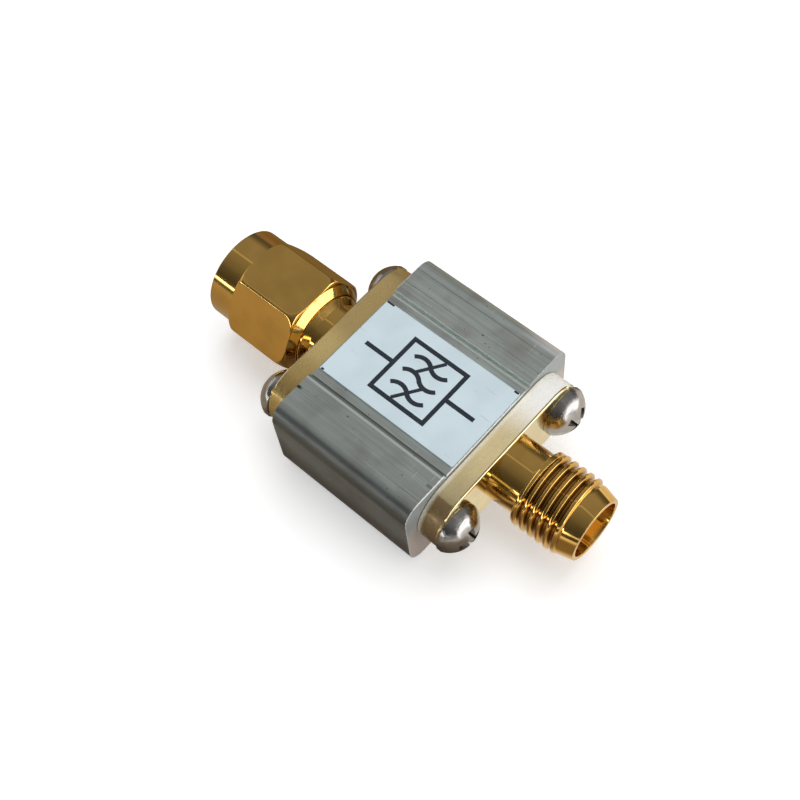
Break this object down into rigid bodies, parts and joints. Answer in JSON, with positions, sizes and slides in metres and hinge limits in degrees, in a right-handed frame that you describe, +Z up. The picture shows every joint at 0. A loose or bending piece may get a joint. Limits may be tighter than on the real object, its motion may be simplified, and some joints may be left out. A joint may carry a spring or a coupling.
{
  "type": "in-line coaxial band-pass filter",
  "caption": "Extruded metal box with a label on top, a coaxial plug with a turning hexagonal nut at one end and a threaded coaxial jack at the other; passes one band of radio signals.",
  "frame": {"origin": "middle of the box's flat underside, below the connector axis", "axes": "+X along the connector axis from the plug to the jack, +Z up out of the labelled top"},
  "size_m": [0.0352, 0.018, 0.0086],
  "materials": {
    "housing_metal": "brushed, worn",
    "label_film": "satin",
    "shell_gold": "polished pale gold plating",
    "nut_gold": "polished gold plating",
    "contact_gold": "gold plating",
    "screw_steel": "polished",
    "spring_steel": "satin",
    "gasket_rubber": "matt",
    "insulator_white": "waxy",
    "board_green": "satin",
    "board_copper": "satin",
    "chip_ceramic": "matt",
    "chip_metal": "satin",
    "capacitor_body": "satin",
    "coil_body": "satin",
    "solder_tin": "bright"
  },
  "bodies": {
    "filter": {"housing": "housing_metal", "label": "label_film", "plug_shell": "shell_gold", "nut_snap_ring": "spring_steel", "plug_gasket": "gasket_rubber", "plug_insulator": "insulator_white", "plug_pin": "contact_gold", "plug_flange_screws": "screw_steel", "jack_shell": "shell_gold", "jack_insulator": "insulator_white", "jack_contact": "contact_gold", "jack_flange_screws": "screw_steel", "circuit_board": "board_green", "signal_tracks": "board_copper", "ground_copper": "board_copper", "filter_chip": "chip_ceramic", "filter_chip_lid": "chip_metal", "input_capacitor": "capacitor_body", "output_capacitor": "capacitor_body", "input_inductor": "coil_body", "output_inductor": "coil_body", "plug_solder_joint": "solder_tin", "jack_solder_joint": "solder_tin", "component_solder": "solder_tin"},
    "nut": {"coupling_nut": "nut_gold"}
  },
  "joints": [
    {"name": "nut_turn", "type": "hinge", "parent": "filter", "child": "nut", "pos_m": [-0.01435, 0, 0.00465], "axis": [1, 0, 0], "continuous": true}
  ]
}
